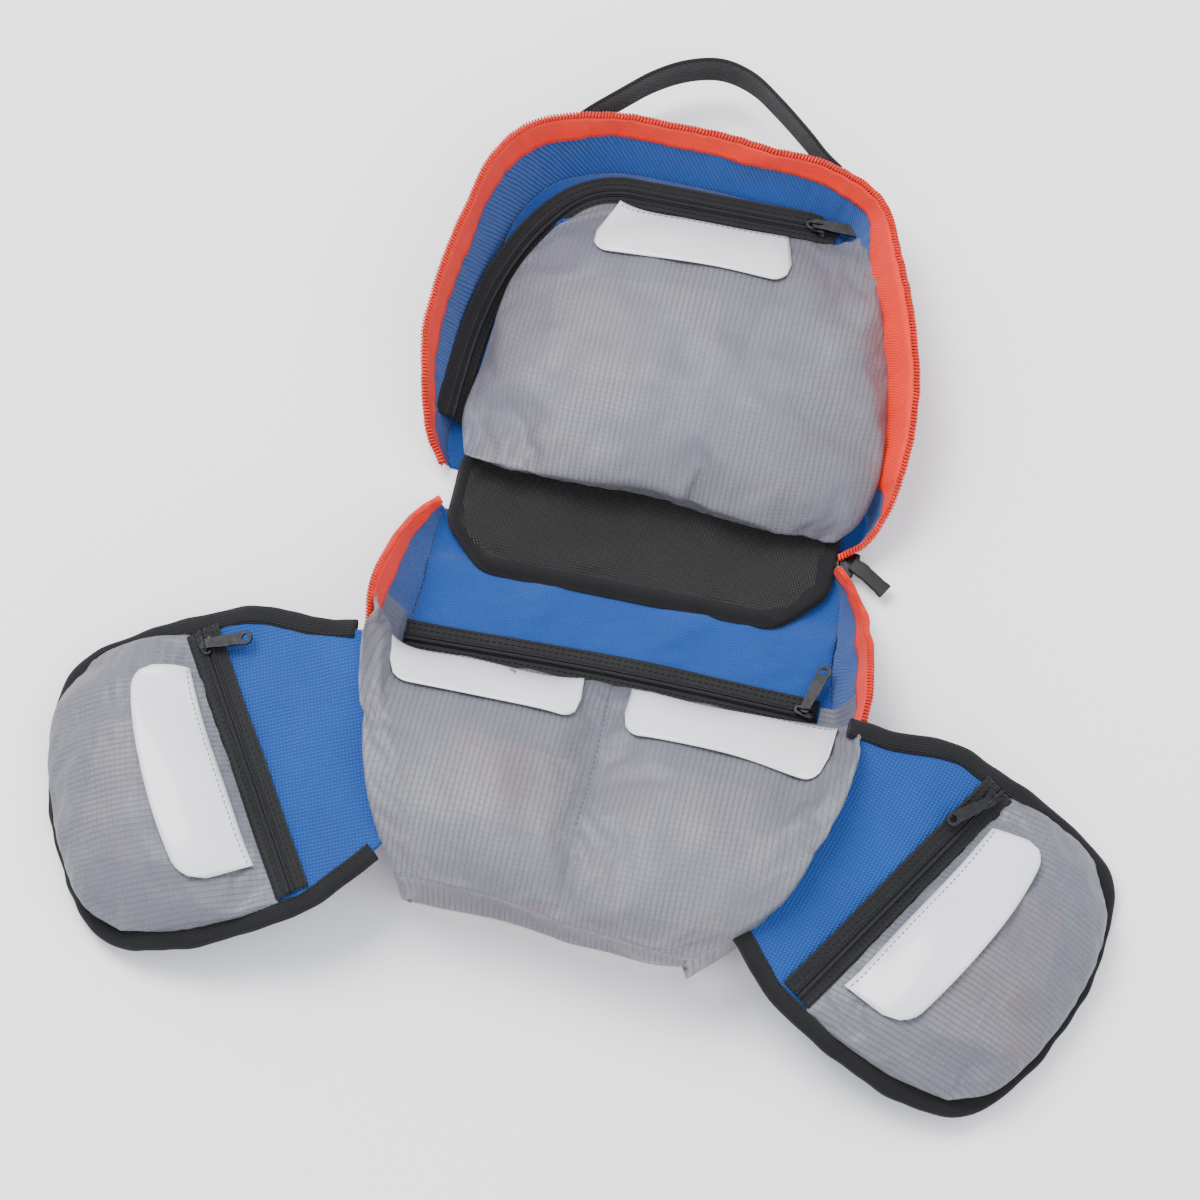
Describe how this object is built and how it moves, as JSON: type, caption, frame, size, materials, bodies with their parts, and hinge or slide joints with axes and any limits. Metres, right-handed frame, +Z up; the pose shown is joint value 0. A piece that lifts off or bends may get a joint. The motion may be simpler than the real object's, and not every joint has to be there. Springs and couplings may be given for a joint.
{
  "type": "soft first aid kit",
  "caption": "Soft clamshell first aid bag lying open: two trays joined by a padded spine, zipped pockets with blank label windows, folding pocket wings and a carry loop.",
  "frame": {"origin": "centre of the spine's flat underside, where the closed bag stands", "axes": "+X along the bag's fold lines, +Y from the base towards the lid and its carry loop, +Z up from the surface that the open bag lies on"},
  "size_m": [0.447, 0.4519, 0.0487],
  "materials": {
    "blue_fabric": "coarse woven blue nylon",
    "orange_tape": "woven polyester zip tape",
    "orange_coil": "coil zip teeth",
    "ripstop": "thin translucent grey ripstop nylon",
    "label_film": "plain white label window",
    "black_tape": "woven zip tape",
    "black_coil": "covered coil",
    "binding": "grosgrain binding tape",
    "spine_fabric": "woven black nylon over foam",
    "webbing": "flat webbing",
    "zip_metal": "dark gunmetal",
    "red_packets": "packets of dressings",
    "blue_packets": "foil packets",
    "paper": "paper wrapping"
  },
  "bodies": {
    "base": {"bandage_roll_pack": "blue_packets", "base_back_panel": "blue_fabric", "base_divider": "ripstop", "base_gusset": "blue_fabric", "base_label_left": "label_film", "base_label_right": "label_film", "base_lining": "blue_fabric", "base_pocket": "ripstop", "base_pocket_zip_coil": "black_coil", "base_pocket_zip_tape_inner": "black_tape", "base_pocket_zip_tape_outer": "black_tape", "base_zip_coil": "orange_coil", "base_zip_tape": "orange_tape", "dressing_pack": "paper", "gauze_pack": "red_packets", "left_wing_root": "blue_fabric", "right_wing_root": "blue_fabric"},
    "spine": {"spine_pad": "spine_fabric", "spine_binding": "binding", "main_slider": "zip_metal"},
    "lid": {"guide_booklet": "paper", "handle_anchor_left": "webbing", "handle_anchor_right": "webbing", "lid_back_panel": "blue_fabric", "lid_gusset": "blue_fabric", "lid_label": "label_film", "lid_lining": "blue_fabric", "lid_pocket": "ripstop", "lid_pocket_zip_coil": "black_coil", "lid_pocket_zip_tape_inner": "black_tape", "lid_pocket_zip_tape_outer": "black_tape", "lid_zip_coil": "orange_coil", "lid_zip_tape": "orange_tape", "wipe_packs": "blue_packets"},
    "handle": {"handle_strap": "webbing"},
    "left_wing": {"left_wing_binding": "binding", "left_wing_label": "label_film", "left_wing_packs": "red_packets", "left_wing_panel": "blue_fabric", "left_wing_pocket": "ripstop", "left_wing_zip_coil": "black_coil", "left_wing_zip_tape_inner": "black_tape", "left_wing_zip_tape_outer": "black_tape"},
    "right_wing": {"right_wing_binding": "binding", "right_wing_label": "label_film", "right_wing_packs": "red_packets", "right_wing_panel": "blue_fabric", "right_wing_pocket": "ripstop", "right_wing_zip_coil": "black_coil", "right_wing_zip_tape_inner": "black_tape", "right_wing_zip_tape_outer": "black_tape"},
    "main_pull": {"main_pull": "webbing"},
    "base_pocket_zip_slider": {"base_pocket_zip_slider": "zip_metal"},
    "base_pocket_zip_pull": {"base_pocket_zip_pull": "zip_metal"},
    "lid_pocket_zip_slider": {"lid_pocket_zip_slider": "zip_metal"},
    "lid_pocket_zip_pull": {"lid_pocket_zip_pull": "zip_metal"},
    "left_wing_zip_slider": {"left_wing_zip_slider": "zip_metal"},
    "left_wing_zip_pull": {"left_wing_zip_pull": "zip_metal"},
    "right_wing_zip_slider": {"right_wing_zip_slider": "zip_metal"},
    "right_wing_zip_pull": {"right_wing_zip_pull": "zip_metal"}
  },
  "joints": [
    {"name": "spine_fold", "type": "hinge", "parent": "base", "child": "spine", "pos_m": [0, -0.04, 0.003], "axis": [1, 0, 0], "range_deg": [0, 90]},
    {"name": "lid_fold", "type": "hinge", "parent": "spine", "child": "lid", "pos_m": [0, 0.04, 0.003], "axis": [1, 0, 0], "range_deg": [0, 90]},
    {"name": "handle_swing", "type": "hinge", "parent": "lid", "child": "handle", "pos_m": [0, 0.18309, 0.022], "axis": [1, 0, 0], "range_deg": [-20, 30]},
    {"name": "left_wing_fold", "type": "hinge", "parent": "base", "child": "left_wing", "pos_m": [-0.0884, -0.105, 0.048], "axis": [-0.3007, 0.9537, 0], "range_deg": [0, 192], "deforming": ["left_wing_binding", "left_wing_label", "left_wing_packs", "left_wing_panel", "left_wing_pocket", "left_wing_zip_coil", "left_wing_zip_tape_inner", "left_wing_zip_tape_outer"]},
    {"name": "right_wing_fold", "type": "hinge", "parent": "base", "child": "right_wing", "pos_m": [0.0884, -0.105, 0.048], "axis": [-0.3007, -0.9537, 0], "range_deg": [0, 188], "deforming": ["right_wing_binding", "right_wing_label", "right_wing_packs", "right_wing_panel", "right_wing_pocket", "right_wing_zip_coil", "right_wing_zip_tape_inner", "right_wing_zip_tape_outer"]},
    {"name": "base_pocket_zip_travel", "type": "slide", "parent": "base", "child": "base_pocket_zip_slider", "axis": [-1, 0, 0], "range_m": [0, 0.165]},
    {"name": "lid_pocket_zip_travel", "type": "slide", "parent": "lid", "child": "lid_pocket_zip_slider", "axis": [-1, 0, 0], "range_m": [0, 0.0775]},
    {"name": "left_wing_zip_travel", "type": "slide", "parent": "left_wing", "child": "left_wing_zip_slider", "axis": [0.5116, -0.8559, 0.0753], "range_m": [0, 0.1086]},
    {"name": "right_wing_zip_travel", "type": "slide", "parent": "right_wing", "child": "right_wing_zip_slider", "axis": [-0.5116, -0.8559, 0.0753], "range_m": [0, 0.1086]},
    {"name": "base_pocket_zip_flip", "type": "hinge", "parent": "base_pocket_zip_slider", "child": "base_pocket_zip_pull", "pos_m": [0.08275, -0.07, 0.0115], "axis": [0.9848, -0.1736, 0], "range_deg": [0, 130]},
    {"name": "lid_pocket_zip_flip", "type": "hinge", "parent": "lid_pocket_zip_slider", "child": "lid_pocket_zip_pull", "pos_m": [0.04475, 0.142, 0.0115], "axis": [0, -1, 0], "range_deg": [0, 175]},
    {"name": "left_wing_zip_flip", "type": "hinge", "parent": "left_wing_zip_slider", "child": "left_wing_zip_pull", "pos_m": [-0.16584, -0.1012, 0.03318], "axis": [0.2373, -0.9712, -0.0215], "range_deg": [0, 165]},
    {"name": "right_wing_zip_flip", "type": "hinge", "parent": "right_wing_zip_slider", "child": "right_wing_zip_pull", "pos_m": [0.16584, -0.1012, 0.03318], "axis": [-0.609, 0.7482, 0.2634], "range_deg": [0, 175]},
    {"name": "main_flip", "type": "hinge", "parent": "spine", "child": "main_pull", "pos_m": [0.0905, 0, 0.0057], "axis": [-0.342, -0.9397, 0], "range_deg": [0, 150]}
  ]
}
